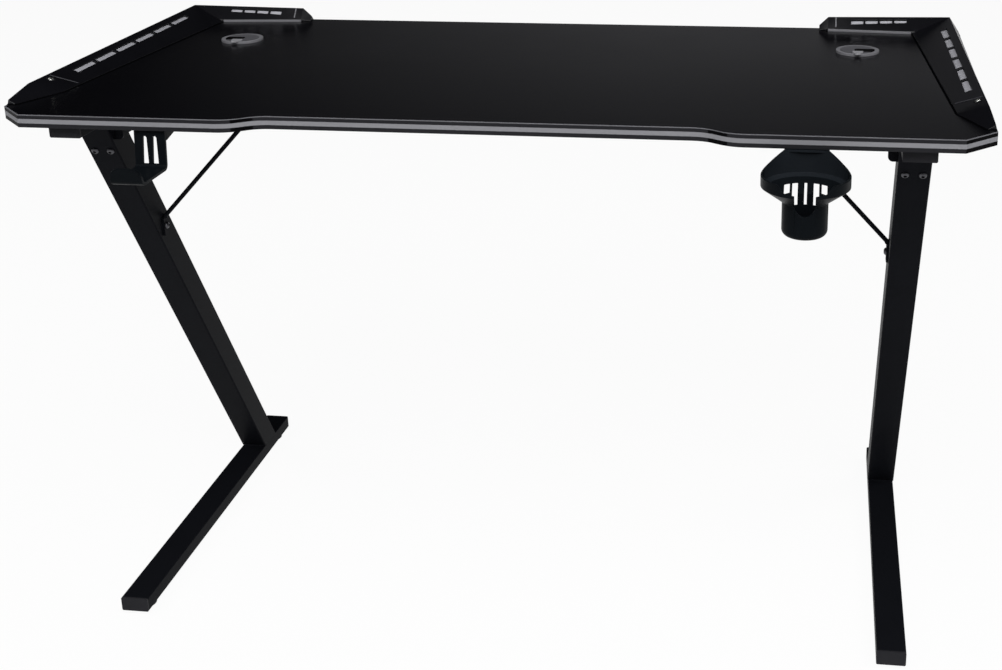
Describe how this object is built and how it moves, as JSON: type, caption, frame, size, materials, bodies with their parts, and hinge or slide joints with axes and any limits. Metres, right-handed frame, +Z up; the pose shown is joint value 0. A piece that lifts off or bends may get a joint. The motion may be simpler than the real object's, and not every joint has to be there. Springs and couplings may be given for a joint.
{
  "type": "gaming desk",
  "caption": "Black gaming desk with sloping Z-shaped tube legs, raised light panels on the rear corners, cable grommets, a cup holder and a headphone hook.",
  "frame": {"origin": "on the floor, below the middle of the whole desk's outline", "axes": "+X to the sitter's right, +Y away from the sitter, +Z up"},
  "size_m": [1.2, 0.6946, 0.7435],
  "materials": {
    "black_laminate": "matte black laminate on particle board",
    "edge_band_pvc": "satin black band with a grey stripe",
    "wing_abs": "satin black moulding",
    "diffuser_plastic": "pale diffusing plastic",
    "led_strip_film": "white flexible light strip",
    "grey_abs": "light grey moulding",
    "powder_coated_steel": "fine black powder coat",
    "cap_plastic": "dark grey moulding",
    "pad_plastic": "matte black pad",
    "zinc_steel": "zinc plated",
    "black_bolt_steel": "blackened steel",
    "accessory_abs": "satin black moulding"
  },
  "bodies": {
    "desk": {"brace_bolts": "black_bolt_steel", "bracket_bolts": "black_bolt_steel", "crossbar_bolts": "black_bolt_steel", "cup_holder": "accessory_abs", "cup_holder_screws": "black_bolt_steel", "desktop_board": "black_laminate", "edge_band": "edge_band_pvc", "frame_screws": "black_bolt_steel", "front_crossbar": "powder_coated_steel", "headphone_hook": "accessory_abs", "hook_screws": "black_bolt_steel", "left_brace": "powder_coated_steel", "left_corner_bracket": "powder_coated_steel", "left_foot": "powder_coated_steel", "left_foot_front_cap": "cap_plastic", "left_foot_rear_cap": "cap_plastic", "left_grommet_ring": "grey_abs", "left_leg": "powder_coated_steel", "left_leg_insert": "powder_coated_steel", "left_rail_front_cap": "cap_plastic", "left_rail_rear_cap": "cap_plastic", "left_rear_diffuser": "diffuser_plastic", "left_rear_led_strip": "led_strip_film", "left_rear_trim": "grey_abs", "left_side_diffuser": "diffuser_plastic", "left_side_led_strip": "led_strip_film", "left_top_rail": "powder_coated_steel", "left_wing_shell": "wing_abs", "leg_bolts": "black_bolt_steel", "leveller_inserts": "zinc_steel", "rear_crossbar": "powder_coated_steel", "right_brace": "powder_coated_steel", "right_corner_bracket": "powder_coated_steel", "right_foot": "powder_coated_steel", "right_foot_front_cap": "cap_plastic", "right_foot_rear_cap": "cap_plastic", "right_grommet_ring": "grey_abs", "right_leg": "powder_coated_steel", "right_leg_insert": "powder_coated_steel", "right_rail_front_cap": "cap_plastic", "right_rail_rear_cap": "cap_plastic", "right_rear_diffuser": "diffuser_plastic", "right_rear_led_strip": "led_strip_film", "right_rear_trim": "grey_abs", "right_side_diffuser": "diffuser_plastic", "right_side_led_strip": "led_strip_film", "right_top_rail": "powder_coated_steel", "right_wing_shell": "wing_abs"},
    "left_grommet_cap": {"left_grommet_cap": "grey_abs"},
    "right_grommet_cap": {"right_grommet_cap": "grey_abs"},
    "left_front_leveller": {"left_front_leveller": "pad_plastic"},
    "left_rear_leveller": {"left_rear_leveller": "pad_plastic"},
    "right_front_leveller": {"right_front_leveller": "pad_plastic"},
    "right_rear_leveller": {"right_rear_leveller": "pad_plastic"}
  },
  "joints": [
    {"name": "left_cap_turn", "type": "hinge", "parent": "desk", "child": "left_grommet_cap", "pos_m": [-0.449, 0.18533, 0.722], "axis": [0, 0, 1], "continuous": true},
    {"name": "left_front_leveller_slide", "type": "slide", "parent": "desk", "child": "left_front_leveller", "axis": [0, 0, -1], "range_m": [0, 0.01]},
    {"name": "left_rear_leveller_slide", "type": "slide", "parent": "desk", "child": "left_rear_leveller", "axis": [0, 0, -1], "range_m": [0, 0.01]},
    {"name": "right_cap_turn", "type": "hinge", "parent": "desk", "child": "right_grommet_cap", "pos_m": [0.449, 0.18533, 0.722], "axis": [0, 0, 1], "continuous": true},
    {"name": "right_front_leveller_slide", "type": "slide", "parent": "desk", "child": "right_front_leveller", "axis": [0, 0, -1], "range_m": [0, 0.01]},
    {"name": "right_rear_leveller_slide", "type": "slide", "parent": "desk", "child": "right_rear_leveller", "axis": [0, 0, -1], "range_m": [0, 0.01]}
  ]
}
